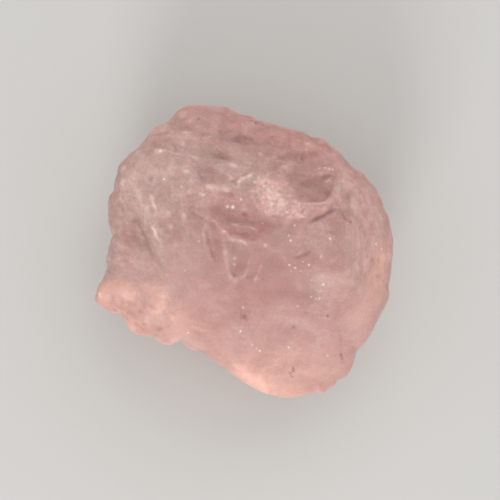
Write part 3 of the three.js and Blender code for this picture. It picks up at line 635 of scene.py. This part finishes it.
def fit_outline(points):
    """Draws the widest part of the stone, as the camera sees it, out to the outline. The middle stays put."""
    x, y = as_seen(points)
    turn = np.arctan2(y, x)
    seen = np.hypot(x, y)
    slot = ((turn + math.pi) / (2.0 * math.pi) * TURN_SLOTS).astype(int) % TURN_SLOTS
    reach = np.zeros(TURN_SLOTS)
    np.maximum.at(reach, slot, seen)
    reach = np.maximum(reach, 0.5 * (np.roll(reach, 1) + np.roll(reach, -1)))
    centres = (np.arange(TURN_SLOTS) + 0.5) / TURN_SLOTS * 2.0 * math.pi - math.pi
    now = np.interp(turn, centres, reach, period=2.0 * math.pi)
    stretch = (outline_radius(OUTLINE, turn) + EDGE_MARGIN) / now - 1.0
    points[:, :2] *= 1.0 + (stretch * smoothstep(seen / now, *FITTED_RIM))[:, None]
    return points


# Waves that shift the areas and patches: reach in millimetres, then the x and y waves (per millimetre in x
# and in y, and phase).
SWIRLS = (
    (0.07, (1.9, 2.6, 1.0), (2.4, -1.7, 2.0)),
    (0.06, (4.7, -3.9, 0.0), (3.6, 5.1, 0.0)),
    (0.03, (9.0, 11.0, 0.0), (12.0, -8.0, 0.0)),
)


def swirled(points):
    """The points as seen, shifted a little to and fro, so that they look grown."""
    x, y = as_seen(points)
    shift_x, shift_y = np.zeros(len(x)), np.zeros(len(y))
    for reach, wave_x, wave_y in SWIRLS:
        shift_x += reach * np.sin(wave_x[0] * x + wave_x[1] * y + wave_x[2])
        shift_y += reach * np.sin(wave_y[0] * x + wave_y[1] * y + wave_y[2])
    return x + shift_x, y + shift_y


def above_line(points, line, softness):
    """1 above a line from left to right, 0 below it, over a border of the given width."""
    x, y = swirled(points)
    level = np.interp(x, *np.array(line).T)
    return smoothstep(y - level, -0.5 * softness, 0.5 * softness)


def inside(x, y, corners, softness):
    """1 inside a closed outline, 0 outside it, over a border of the given width."""
    nearest = np.full(len(x), np.inf)
    within = np.zeros(len(x), bool)
    for (ax, ay), (bx, by) in zip(corners, corners[1:] + corners[:1]):
        run, climb = bx - ax, by - ay
        share = np.clip(((x - ax) * run + (y - ay) * climb) / (run**2 + climb**2), 0.0, 1.0)
        nearest = np.minimum(nearest, np.hypot(x - ax - share * run, y - ay - share * climb))
        if climb:
            within ^= ((ay > y) != (by > y)) & (x < ax + run * (y - ay) / climb)
    return smoothstep(np.where(within, nearest, -nearest), -0.5 * softness, 0.5 * softness)


def add_patches(points, facing):
    """Raises the areas and patches along the normals, and returns their paleness, frost and warmth."""
    up = smoothstep(facing[:, 2], 0.0, 0.35)
    x, y = swirled(points)
    total = np.zeros((4, len(points)))
    for areas, patches, line in (
        (BASIN_AREAS, BASIN_PATCHES, BASIN_LIP), (DEEP_AREAS, (), DEEP_EDGE), (AREAS, PATCHES, None),
    ):
        share = up if line is None else up * above_line(points, line, LIP_SOFTNESS)
        for corners, softness, *effect in areas:
            total += np.outer(effect, inside(x, y, corners, softness) * share)
        for centre, half, turn, *effect in patches:
            c, s = math.cos(math.radians(turn)), math.sin(math.radians(turn))
            dx, dy = x - centre[0], y - centre[1]
            weight = bell(np.hypot((dx * c + dy * s) / half[0], (dy * c - dx * s) / half[1])) * share
            frost = np.maximum(total[2], effect[2] * weight)
            total += np.outer(effect, weight)
            total[2] = frost  # the frost of patches doesn't add up
    rise, pale, frost, warm = total
    return points + facing * rise[:, None], pale, np.clip(frost, 0.0, 1.0), warm


def broad_warmth(points):
    """Slow change of colour over the stone: beige at the upper left, peach at the lobe and the bottom."""
    x, y = points[:, 0], points[:, 1]
    lobe = bell(np.hypot((x + 9.5) / 4.5, (y + 4.8) / 4.0)) * (1.0 - above_line(points, LOBE_TOP, 1.0))
    bottom = bell(np.hypot((x - 2.0) / 7.0, (y + 11.0) / 4.5))
    corner = bell(np.hypot((x + 7.5) / 5.5, (y - 4.0) / 6.5))
    return 0.9 * lobe + 0.8 * bottom - 0.8 * corner


def roughness_share(points, facing):
    """How worn and mottled the skin is: most in the upper half and on the left face, least in the lower half.

    The flanks and the underside are fairly worn all round.
    """
    x, y = points[:, 0], points[:, 1]
    flank = 0.6 * smoothstep(-facing[:, 2], -0.3, 0.3)
    upper = smoothstep(y - 0.1 * x, -1.5, 4.0)
    left = 0.75 * bell(np.hypot((x + 9.5) / 3.0, (y - 1.0) / 4.5))
    lobe = 0.9 * bell(np.hypot((x + 9.5) / 4.0, (y + 5.0) / 2.5))
    bottom = 0.3 * bell(np.hypot((x - 2.5) / 6.0, (y + 10.0) / 3.0))
    right = 0.35 * smoothstep(x, 3.0, 6.0) * smoothstep(y, -4.0, -1.0)
    return np.clip(np.maximum.reduce([upper, left, lobe, bottom, right, flank]), 0.0, 1.0)


def line_field(points):
    """Where fine lines run: the distance across and along them, and how strong they are.

    On the right side they follow the outline, on the left face they run down and to the right.
    """
    x, y = points[:, 0], points[:, 1]
    turn = np.arctan2(y, x)
    inset = outline_radius(OUTLINE, turn) - np.hypot(x, y)
    right = smoothstep(x, 6.0, 9.0) * smoothstep(y, -5.0, -2.0) * smoothstep(inset, 5.0, 2.5)
    left = bell(np.hypot((x + 8.8) / 2.4, (y - 2.2) / 3.6))
    on_right = x > 0.0
    across = np.where(on_right, inset, 0.94 * x + 0.34 * y)
    along = np.where(on_right, 11.0 * turn, 0.94 * y - 0.34 * x)
    return across, along, np.where(on_right, right, left)


def mark_faces(mesh, name, spots):
    """Gives each face the place, the size and the strength of the spot seen nearest to it, in metres."""
    centres = vectors_of(mesh.polygons, "center") / MM
    x, y = as_seen(centres)
    nearest = np.argmin([np.hypot(x - spot[0], y - spot[1]) / spot[2] for spot in spots], axis=0)
    seen_x, seen_y, radius, strength = np.array(spots)[nearest].T
    nearness = 1.0 - (centres[:, 2] - GIRTH_HEIGHT) / VIEW_HEIGHT
    spot_x, spot_y = (aim + (seen - aim) * nearness for aim, seen in zip(VIEW_AIM, (seen_x, seen_y)))
    strength *= vectors_of(mesh.polygons, "normal")[:, 2] > 0.1
    flat = np.zeros(len(x))
    for part, values in (("_at", (spot_x * MM, spot_y * MM, flat)), ("_kind", (radius * MM, strength, flat))):
        attribute = mesh.attributes.new(name + part, "FLOAT_VECTOR", "FACE")
        attribute.data.foreach_set("vector", np.column_stack(values).astype(np.float32).ravel())


def store(mesh, name, values):
    """Keeps one value for each vertex."""
    attribute = mesh.attributes.new(name, "FLOAT", "POINT")
    attribute.data.foreach_set("value", values.astype(np.float32))


def stroke_lines(surface):
    """The strokes as edges that lie on the surface, with their widths and heights as attributes."""
    tree = BVHTree.FromObject(surface, bpy.context.evaluated_depsgraph_get())
    vertices, edges, table = [], [], []
    eye = Vector((*VIEW_AIM, GIRTH_HEIGHT + VIEW_HEIGHT)) * MM
    for line, half, rise, step, pale in STROKES:
        first = len(vertices)
        for index, (x, y) in enumerate(line):
            hit = tree.ray_cast(eye, Vector((x, y, GIRTH_HEIGHT)) * MM - eye)[0]
            if hit is None:
                continue
            end = STROKE_END if index in (0, len(line) - 1) else 1.0
            vertices.append(hit)
            table.append((half * MM * (0.6 + 0.4 * end), rise * MM * end, step * MM * end, pale * end))
        edges += [(i, i + 1) for i in range(first, len(vertices) - 1)]
    mesh = bpy.data.meshes.new("stroke_lines")
    mesh.from_pydata(vertices, edges, [])
    for name, values in zip(STROKE_VALUES, np.array(table).T):
        store(mesh, name, values)
    lines = bpy.data.objects.new("stroke_lines", mesh)
    bpy.context.scene.collection.objects.link(lines)
    return lines


def named(tree, name):
    """The value of a float attribute."""
    node = add(tree, "GeometryNodeInputNamedAttribute", {"Name": name}, data_type="FLOAT")
    return node.outputs["Attribute"]


def kept(tree, geometry, name, value):
    """The geometry, with one more value stored at its points."""
    inputs = {"Geometry": geometry, "Name": name, "Value": value}
    return add(tree, "GeometryNodeStoreNamedAttribute", inputs, data_type="FLOAT", domain="POINT").outputs[0]


def noise_relief(tree, position, spacing, seed, detail=2.0, stretch=(1.0, 1.0, 1.0), turn=(0.0, 0.0, 0.0)):
    """Noise from -1 to 1 at the given spacing, which may be stretched along a direction."""
    turned = add(tree, "ShaderNodeVectorRotate", {"Vector": position, "Rotation": turn},
                 rotation_type="EULER_XYZ").outputs[0]
    inputs = {
        "Vector": vector_calc(tree, "MULTIPLY", turned, stretch), "W": seed,
        "Scale": calc(tree, "DIVIDE", 1.0, spacing), "Detail": detail, "Roughness": 0.55, "Distortion": 0.3,
    }
    noise = add(tree, "ShaderNodeTexNoise", inputs, noise_dimensions="4D")
    return remap(tree, noise.outputs["Fac"], 0.2, 0.8, -1.0, 1.0)


def nearest_stroke(tree, strokes, probe):
    """The way from the nearest point of the strokes to the probe, the stroke's direction and its values."""
    lines = add(tree, "GeometryNodeObjectInfo", {"Object": strokes}, transform_space="ORIGINAL")
    curves = add(tree, "GeometryNodeMeshToCurve", {"Mesh": lines.outputs["Geometry"]})
    smooth = add(tree, "GeometryNodeCurveSplineType", {"Curve": curves.outputs["Curve"]},
                 spline_type="CATMULL_ROM")
    dots = add(tree, "GeometryNodeCurveToPoints", {"Curve": smooth.outputs["Curve"], "Length": STROKE_DOTS},
               mode="LENGTH").outputs
    nearest = add(tree, "GeometryNodeSampleNearest", {"Geometry": dots["Points"], "Sample Position": probe},
                  domain="POINT")

    def sampled(field, data_type="FLOAT"):
        inputs = {"Geometry": dots["Points"], "Value": field, "Index": nearest.outputs["Index"]}
        node = add(tree, "GeometryNodeSampleIndex", inputs, data_type=data_type, domain="POINT")
        return node.outputs["Value"]

    point = sampled(add(tree, "GeometryNodeInputPosition").outputs[0], "FLOAT_VECTOR")
    along = sampled(dots["Tangent"], "FLOAT_VECTOR")
    away = vector_calc(tree, "SUBTRACT", probe, point)
    return away, along, [sampled(named(tree, name)) for name in STROKE_VALUES]


def stroke_relief(tree, group, position, seed):
    """Height and paleness that the nearest stroke gives to each point, with a wavering, broken edge."""
    inputs = {"Vector": position, "W": seed, "Scale": WANDER_SCALE, "Detail": 3.0}
    wander = add(tree, "ShaderNodeTexNoise", inputs, noise_dimensions="4D").outputs["Color"]
    probe = shifted(tree, position, wander, group["Edge wander"])
    breaks = remap(tree, noise_relief(tree, position, BREAK_SPACING, seed), -0.55, 0.45, 0.0, 1.3)
    away, along, (half, rise, step, pale) = nearest_stroke(tree, group["Strokes"], probe)

    distance = calc(tree, "DIVIDE", length_of(tree, away), half)
    fall = soft_fall(tree, distance, 1.2)
    cross = vector_calc(tree, "CROSS_PRODUCT", along, away)
    sideways = calc(tree, "DIVIDE", add(tree, "ShaderNodeSeparateXYZ", {0: cross}).outputs["Z"], half)
    ledge = product(tree, calc(tree, "TANH", product(tree, sideways, 1.5)), 0.5)
    fade = calc(tree, "EXPONENT", product(tree, distance, -0.28))
    height = calc(tree, "ADD", product(tree, rise, fall), product(tree, step, product(tree, ledge, fade)))
    # Strong lines run through, weak ones are broken
    steady = remap(tree, calc(tree, "ABSOLUTE", pale), 0.5, 0.9)
    broken = calc(tree, "ADD", product(tree, breaks, calc(tree, "SUBTRACT", 1.0, steady)), steady)
    strength = product(tree, broken, group["Edge strength"])
    return product(tree, height, strength), product(tree, pale, fall, strength)


def worn_relief(tree, group, position, seed):
    """Height of the lumps, ripples, grain and pits together."""
    rough = named(tree, "rough")
    lumps = noise_relief(tree, position, group["Lump spacing"], seed, 3.0)
    ripples = noise_relief(
        tree, position, group["Ripple spacing"], seed, stretch=(0.4, 1.0, 1.0), turn=(0.0, 0.0, 0.25),
    )
    grain = noise_relief(tree, position, group["Grain spacing"], seed)
    inputs = {"Vector": position, "Scale": calc(tree, "DIVIDE", 1.0, group["Pit spacing"]), "Randomness": 1.0}
    cells = add(tree, "ShaderNodeTexVoronoi", inputs, voronoi_dimensions="3D", feature="F1").outputs
    lots = add(tree, "FunctionNodeSeparateColor", {"Color": cells["Color"]}).outputs[0]
    chosen = calc(tree, "LESS_THAN", lots, PIT_SHARE)
    pits = product(tree, remap(tree, cells["Distance"], 0.08, 0.34, 1.0, 0.0, True), chosen)

    wear_share = remap(tree, rough, 0.0, 1.0, 0.25, 1.2)
    grain_share = calc(tree, "ADD", product(tree, named(tree, "frost"), 0.85), product(tree, rough, 0.2))
    wear = product(tree, lumps, group["Lump height"], wear_share)
    for part in (
        product(tree, ripples, group["Ripple height"], wear_share),
        product(tree, grain, group["Grain height"], grain_share),
        product(tree, pits, group["Pit depth"], product(tree, wear_share, -1.0)),
    ):
        wear = calc(tree, "ADD", wear, part)
    return wear


def skin_tree():
    """The node tree that etches the stone's skin: strokes, lumps, ripples, grain and pits."""
    tree = bpy.data.node_groups.new("Etched skin", "GeometryNodeTree")
    sizes = GEM_PG_stone.bl_rna.properties
    kinds = {"INT": "NodeSocketInt", "FLOAT": "NodeSocketFloat"}
    for name, kind in (
        ("Geometry", "NodeSocketGeometry"),
        ("Strokes", "NodeSocketObject"),
        ("Material", "NodeSocketMaterial"),
        *((sizes[key].name, kinds[sizes[key].type]) for key in own_keys(GEM_PG_stone)),
    ):
        tree.interface.new_socket(name, in_out="INPUT", socket_type=kind)
    tree.interface.new_socket("Geometry", in_out="OUTPUT", socket_type="NodeSocketGeometry")
    group = add(tree, "NodeGroupInput").outputs
    position = add(tree, "GeometryNodeInputPosition").outputs[0]
    normal = add(tree, "GeometryNodeInputNormal").outputs[0]
    seed = product(tree, group["Seed"], SEED_STEP)
    edges, edge_pale = stroke_relief(tree, group, position, seed)
    wear = worn_relief(tree, group, position, seed)

    # The relief fades out at the resting spot, and nothing goes below it
    high = add(tree, "ShaderNodeSeparateXYZ", {0: position}).outputs["Z"]
    foot = remap(tree, high, 0.0, FOOT_HEIGHT, 0.0, 1.0, True)
    total = product(tree, calc(tree, "ADD", wear, edges), foot)
    moved = vector_calc(tree, "ADD", position, vector_calc(tree, "SCALE", normal, scale=total))
    axes = add(tree, "ShaderNodeSeparateXYZ", {0: moved}).outputs
    grounded = add(tree, "ShaderNodeCombineXYZ",
                   {"X": axes["X"], "Y": axes["Y"], "Z": calc(tree, "MAXIMUM", axes["Z"], 0.0)}).outputs[0]

    marked = kept(tree, group["Geometry"], "edge_pale", edge_pale)
    # The relief height is kept for the colour: painted shade in its hollows and painted light on its crests.
    lump_shares = calc(tree, "DIVIDE", wear, calc(tree, "ADD", group["Lump height"], 1e-6))
    marked = kept(tree, marked, "wear", lump_shares)
    etched = add(tree, "GeometryNodeSetPosition", {"Geometry": marked, "Position": grounded})
    smooth = add(tree, "GeometryNodeSetShadeSmooth", {"Geometry": etched.outputs[0], "Shade Smooth": True})
    whole = add(tree, "GeometryNodeRealizeInstances", {"Geometry": smooth.outputs[0]})
    painted = add(tree, "GeometryNodeSetMaterial",
                  {"Geometry": whole.outputs[0], "Material": group["Material"]})
    add(tree, "NodeGroupOutput", {"Geometry": painted.outputs[0]})
    return tree


def etched_mesh(draft, lines, material, settings):
    """Runs the skin tree on the draft and returns the result as a plain mesh."""
    tree = skin_tree()
    modifier = draft.modifiers.new("Etched skin", "NODES")
    modifier.node_group = tree
    sockets = {item.name: item.identifier for item in tree.interface.items_tree if item.in_out == "INPUT"}
    modifier[sockets["Strokes"]] = lines
    modifier[sockets["Material"]] = material
    for key in own_keys(settings):
        modifier[sockets[settings.bl_rna.properties[key].name]] = getattr(settings, key)
    bpy.context.view_layer.update()
    mesh = bpy.data.meshes.new_from_object(draft.evaluated_get(bpy.context.evaluated_depsgraph_get()))
    draft.modifiers.remove(modifier)
    return mesh


def attribute(tree, name):
    """The outputs of a mesh attribute."""
    return add(tree, "ShaderNodeAttribute", attribute_type="GEOMETRY", attribute_name=name).outputs


def spot_marks(tree, where, name):
    """Soft round marks where the faces say that a spot is near."""
    offset = vector_calc(tree, "SUBTRACT", where, attribute(tree, name + "_at")["Vector"])
    offset = vector_calc(tree, "MULTIPLY", offset, (1.0, 1.0, 0.0))
    kind = add(tree, "ShaderNodeSeparateXYZ", {0: attribute(tree, name + "_kind")["Vector"]}).outputs
    distance = calc(tree, "DIVIDE", length_of(tree, offset), kind["X"])
    return product(tree, soft_fall(tree, distance, 1.0), kind["Y"])


def blend_colour(tree, share, a, b):
    """A Mix node's colour output."""
    return add(tree, "ShaderNodeMix", {0: share, 6: a, 7: b}, data_type="RGBA").outputs[2]


def soft_noise(tree, where, spacing, detail=2.0, distortion=0.0, roughness=0.5):
    """Noise from -1 to 1, mostly."""
    inputs = {"Vector": where, "Scale": 1.0 / spacing, "Detail": detail, "Roughness": roughness,
              "Distortion": distortion}
    noise = add(tree, "ShaderNodeTexNoise", inputs, noise_dimensions="3D")
    return remap(tree, noise.outputs["Fac"], 0.3, 0.7, -1.0, 1.0)


def strayed(tree, where, spacing, reach):
    """The coordinates, shifted to and fro by a noise of the given spacing."""
    noise = add(tree, "ShaderNodeTexNoise", {"Vector": where, "Scale": 1.0 / spacing, "Detail": 1.0})
    return shifted(tree, where, noise.outputs["Color"], reach)


def sugar_dots(tree, where, spacing, chance):
    """Small round dots, one in a share of the cells."""
    cells = add(tree, "ShaderNodeTexVoronoi", {"Vector": where, "Scale": 1.0 / spacing}, feature="F1").outputs
    lots = add(tree, "ShaderNodeSeparateColor", {"Color": cells["Color"]}).outputs
    chosen = calc(tree, "LESS_THAN", lots[0], chance)
    strength = product(tree, chosen, remap(tree, lots[1], 0.0, 1.0, 0.3, 1.0))
    return product(tree, remap(tree, cells["Distance"], 0.1, 0.38, 1.0, 0.0, True), strength)


def veiled_body(tree, where, warm, rgba):
    """The body's colour: pink, turning to peach or beige, with slow veils inside the stone."""
    veils = soft_noise(tree, where, 0.0042, 3.0, 0.6)
    tint = blend_colour(tree, remap(tree, warm, 0.0, 1.0), rgba("body"), rgba("warm"))
    tint = blend_colour(tree, remap(tree, warm, 0.0, -1.0), tint, rgba("cool"))
    tint = blend_colour(tree, remap(tree, veils, -0.2, 1.2, 0.0, 0.2), tint, rgba("veil"))
    return blend_colour(tree, remap(tree, veils, 0.0, -1.2, 0.0, 0.2), tint, rgba("deep"))


def skin_patterns(tree, where):
    """The patterns in the skin's colour, each from about -1 or 0 to 1."""
    flow_at = add(tree, "ShaderNodeMapping",
                  {"Vector": where, "Rotation": (0.0, 0.0, 0.3), "Scale": (0.35, 1.0, 1.0)},
                  vector_type="POINT").outputs[0]
    lines_at = add(tree, "ShaderNodeCombineXYZ", {
        "X": product(tree, attribute(tree, "across")["Fac"], MM),
        "Y": product(tree, attribute(tree, "along")["Fac"], 0.25 * MM),
    }).outputs[0]
    return {
        "mottle": soft_noise(tree, where, 0.0008, 2.0, 0.4),
        "flow": soft_noise(tree, flow_at, 0.0009, 3.0, 1.2),
        "lines": soft_noise(tree, lines_at, 0.0004, 2.0, 0.6),
        "grain": soft_noise(tree, where, 0.00018),
        "dots": sugar_dots(tree, where, 0.00055, 0.4),
        "beads": sugar_dots(tree, where, 0.001, 0.35),
        "stains": sugar_dots(tree, strayed(tree, where, 0.0003, 0.0004), 0.0009, 0.35),
        "sugar": soft_noise(tree, where, 0.00032, 2.0, 0.0, 0.6),
        "clumps": soft_noise(tree, where, 0.0011, 2.0, 0.5),
    }


def morganite_material(colours):
    """Milky pink beryl: veils, mottling, fine lines, sugary frost, glints and specks over a glowing body."""
    material = bpy.data.materials.new("morganite")
    material.use_nodes = True
    tree = material.node_tree
    tree.nodes.clear()

    def rgba(name):
        return (*getattr(colours, name), 1.0)

    where = add(tree, "ShaderNodeTexCoord").outputs["Object"]
    names = ("frost", "warm", "wear", "rough", "fine_lines", "pale", "edge_pale")
    frost, warm, wear, rough, fine_lines, pale, edge_pale = (attribute(tree, name)["Fac"] for name in names)
    skin = skin_patterns(tree, where)
    shift = weighted_sum(
        tree,
        *((skin[name], remap(tree, rough, 0.0, 1.0, *weights)) for name, weights in PATTERN_WEIGHTS.items()),
        (skin["flow"], 0.07),
        (skin["lines"], product(tree, fine_lines, 0.22)),
        (skin["dots"], weighted_sum(tree, (frost, 0.3), (rough, 0.25))),
        # painted shade in the hollows of the relief and painted light on its crests
        (wear, 0.08), (pale, 0.9), (edge_pale, 0.9),
    )
    light = blend_colour(tree, remap(tree, warm, 0.2, 0.9), rgba("veil"), rgba("peach_light"))
    hollow = blend_colour(tree, remap(tree, warm, 0.0, 0.35), rgba("deep"), rgba("deep_red"))
    tint = veiled_body(tree, where, warm, rgba)
    tint = blend_colour(tree, remap(tree, shift, 0.0, 1.0, 0.0, 0.9), tint, light)
    tint = blend_colour(tree, remap(tree, shift, 0.0, -1.0, 0.0, 0.9), tint, hollow)

    grains = weighted_sum(
        tree, (skin["sugar"], 0.35), (skin["clumps"], 0.3), (skin["dots"], 0.6), (1.0, 0.33),
    )
    spots_at = strayed(tree, where, 0.00011, 0.00012)
    # Painted highlights: the glints are near-white base colour, and less rough below.
    painted_glint = spot_marks(tree, spots_at, "painted_glint")
    tint = blend_colour(tree, calc(tree, "MULTIPLY", frost, grains, clamp=True), tint, rgba("frost"))
    # Dark specks; two of them are painted shade in small dents at the left edge.
    tint = blend_colour(tree, spot_marks(tree, spots_at, "speck_and_shade"), tint, rgba("speck_and_shade"))
    tint = blend_colour(tree, painted_glint, tint, rgba("painted_glint"))

    roughness = weighted_sum(
        tree, (skin["mottle"], 0.08), (frost, 0.15), (painted_glint, -0.3), (colours.roughness, 1.0),
    )
    fine = weighted_sum(tree, (skin["mottle"], 0.1), (skin["grain"], 0.07), (skin["flow"], 0.06))
    bump = add(tree, "ShaderNodeBump", {
        "Height": fine, "Strength": remap(tree, rough, 0.0, 1.0, 0.15, 0.4), "Distance": 0.0002,
    })
    shader = add(tree, "ShaderNodeBsdfPrincipled", {
        "Base Color": tint, "Roughness": roughness, "Normal": bump.outputs["Normal"], "IOR": 1.58,
        "Specular IOR Level": 0.4, "Subsurface Weight": 1.0, "Subsurface Radius": (1.0, 0.5, 0.42),
        "Subsurface Scale": colours.glow_depth,
    })
    tree.links.new(shader.outputs["BSDF"], add(tree, "ShaderNodeOutputMaterial").inputs["Surface"])
    return material


class GEM_OT_stone(bpy.types.Operator):
    """Builds the stone over its CAD solid and gives it its milky pink finish"""

    bl_idname = "gem.stone"
    bl_label = "Build the stone"

    def execute(self, context):
        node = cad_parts.get(STONE_NODE)
        if node is None:
            raise RuntimeError("the frame has no node named " + STONE_NODE)
        draft = fine_copy(node, SKIN_LEVELS)
        skin = draft.data
        points = fit_outline(vectors_of(skin.vertices, "co") / MM)
        place(skin, points)
        points, pale, frost, warm = add_patches(points, vectors_of(skin.vertex_normals, "vector"))
        points[:, 2] = np.maximum(points[:, 2], 0.0)
        place(skin, points)
        across, along, fine_lines = line_field(points)
        for name, values in (
            ("pale", pale), ("frost", frost),
            ("across", across), ("along", along), ("fine_lines", fine_lines),
            ("warm", np.clip(warm + broad_warmth(points), -1.0, 1.0)),
            ("rough", roughness_share(points, vectors_of(skin.vertex_normals, "vector"))),
        ):
            store(skin, name, values)

        lines = stroke_lines(draft)
        material = morganite_material(context.scene.gem_colours)
        mesh = etched_mesh(draft, lines, material, context.scene.gem_stone)
        mesh.name = "stone_skin"
        place(mesh, fit_outline(vectors_of(mesh.vertices, "co") / MM))
        mark_faces(mesh, "painted_glint", PAINTED_GLINTS)
        mark_faces(mesh, "speck_and_shade", SPECKS_AND_DENT_SHADE)
        stone = bpy.data.objects.new("stone_skin", mesh)
        context.scene.collection.objects.link(stone)
        for spare in (lines, draft):
            bpy.data.meshes.remove(spare.data)
        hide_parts(STONE_NODE)
        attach(stone, "root")
        return {"FINISHED"}


def area_light(name, energy, size, where):
    """A round soft light that points at the middle of the stone."""
    data = bpy.data.lights.new(name, "AREA")
    data.energy = energy
    data.shape = "DISK"
    data.size = size
    light = bpy.data.objects.new(name, data)
    light.location = where
    light.rotation_euler = (Vector(LIT_POINT) - Vector(where)).to_track_quat("-Z", "Y").to_euler()
    bpy.context.scene.collection.objects.link(light)


class GEM_OT_stage(bpy.types.Operator):
    """Sets the pale floor, the soft lights and the camera that looks straight down"""

    bl_idname = "gem.stage"
    bl_label = "Set the stage"

    def execute(self, context):
        settings = context.scene.gem_stage
        half = FLOOR_HALF
        mesh = bpy.data.meshes.new("floor")
        corners = [(-half, -half, 0), (half, -half, 0), (half, half, 0), (-half, half, 0)]
        mesh.from_pydata(corners, [], [(0, 1, 2, 3)])
        floor = bpy.data.objects.new("floor", mesh)
        context.scene.collection.objects.link(floor)
        paint = bpy.data.materials.new("pale_floor")
        paint.use_nodes = True
        shader = paint.node_tree.nodes["Principled BSDF"]
        shader.inputs["Base Color"].default_value = (*settings.floor_colour, 1.0)
        shader.inputs["Roughness"].default_value = 0.9
        mesh.materials.append(paint)

        area_light("key", settings.key_energy, *KEY_LIGHT)
        area_light("fill", settings.fill_energy, *FILL_LIGHT)
        world = bpy.data.worlds.new("surroundings")
        world.use_nodes = True
        sky = world.node_tree.nodes["Background"]
        sky.inputs["Color"].default_value = SKY_COLOUR
        sky.inputs["Strength"].default_value = settings.sky
        context.scene.world = world

        data = bpy.data.cameras.new("camera")
        data.lens = settings.lens
        data.clip_start, data.clip_end = 0.01, 10.0
        camera = bpy.data.objects.new("camera", data)
        distance = settings.frame_width * settings.lens / data.sensor_width
        camera.location = (*settings.aim, GIRTH_HEIGHT * MM + distance)
        context.scene.collection.objects.link(camera)
        context.scene.camera = camera
        context.scene.view_settings.view_transform = "Standard"
        return {"FINISHED"}


class GEM_PT_panel(bpy.types.Panel):
    """The gemstone's controls"""

    bl_idname = "GEM_PT_panel"
    bl_label = "Gemstone"
    bl_space_type = "VIEW_3D"
    bl_region_type = "UI"
    bl_category = "Gemstone"

    def draw(self, context):
        for title, holder, operator in (
            ("Stone", context.scene.gem_stone, "gem.stone"),
            ("Colours", context.scene.gem_colours, None),
            ("Stage", context.scene.gem_stage, "gem.stage"),
        ):
            box = self.layout.box()
            box.label(text=title)
            for key in own_keys(holder):
                box.prop(holder, key)
            if operator:
                box.operator(operator)


CLASSES = (GEM_PG_stone, GEM_PG_colours, GEM_PG_stage, GEM_OT_stone, GEM_OT_stage, GEM_PT_panel)


def register():
    for cls in CLASSES:
        bpy.utils.register_class(cls)
    bpy.types.Scene.gem_stone = PointerProperty(type=GEM_PG_stone)
    bpy.types.Scene.gem_colours = PointerProperty(type=GEM_PG_colours)
    bpy.types.Scene.gem_stage = PointerProperty(type=GEM_PG_stage)


def unregister():
    del bpy.types.Scene.gem_stage, bpy.types.Scene.gem_colours, bpy.types.Scene.gem_stone
    for cls in reversed(CLASSES):
        bpy.utils.unregister_class(cls)


def main():
    register()
    bpy.ops.gem.stone()
    bpy.ops.gem.stage()


if __name__ == "__main__":
    main()
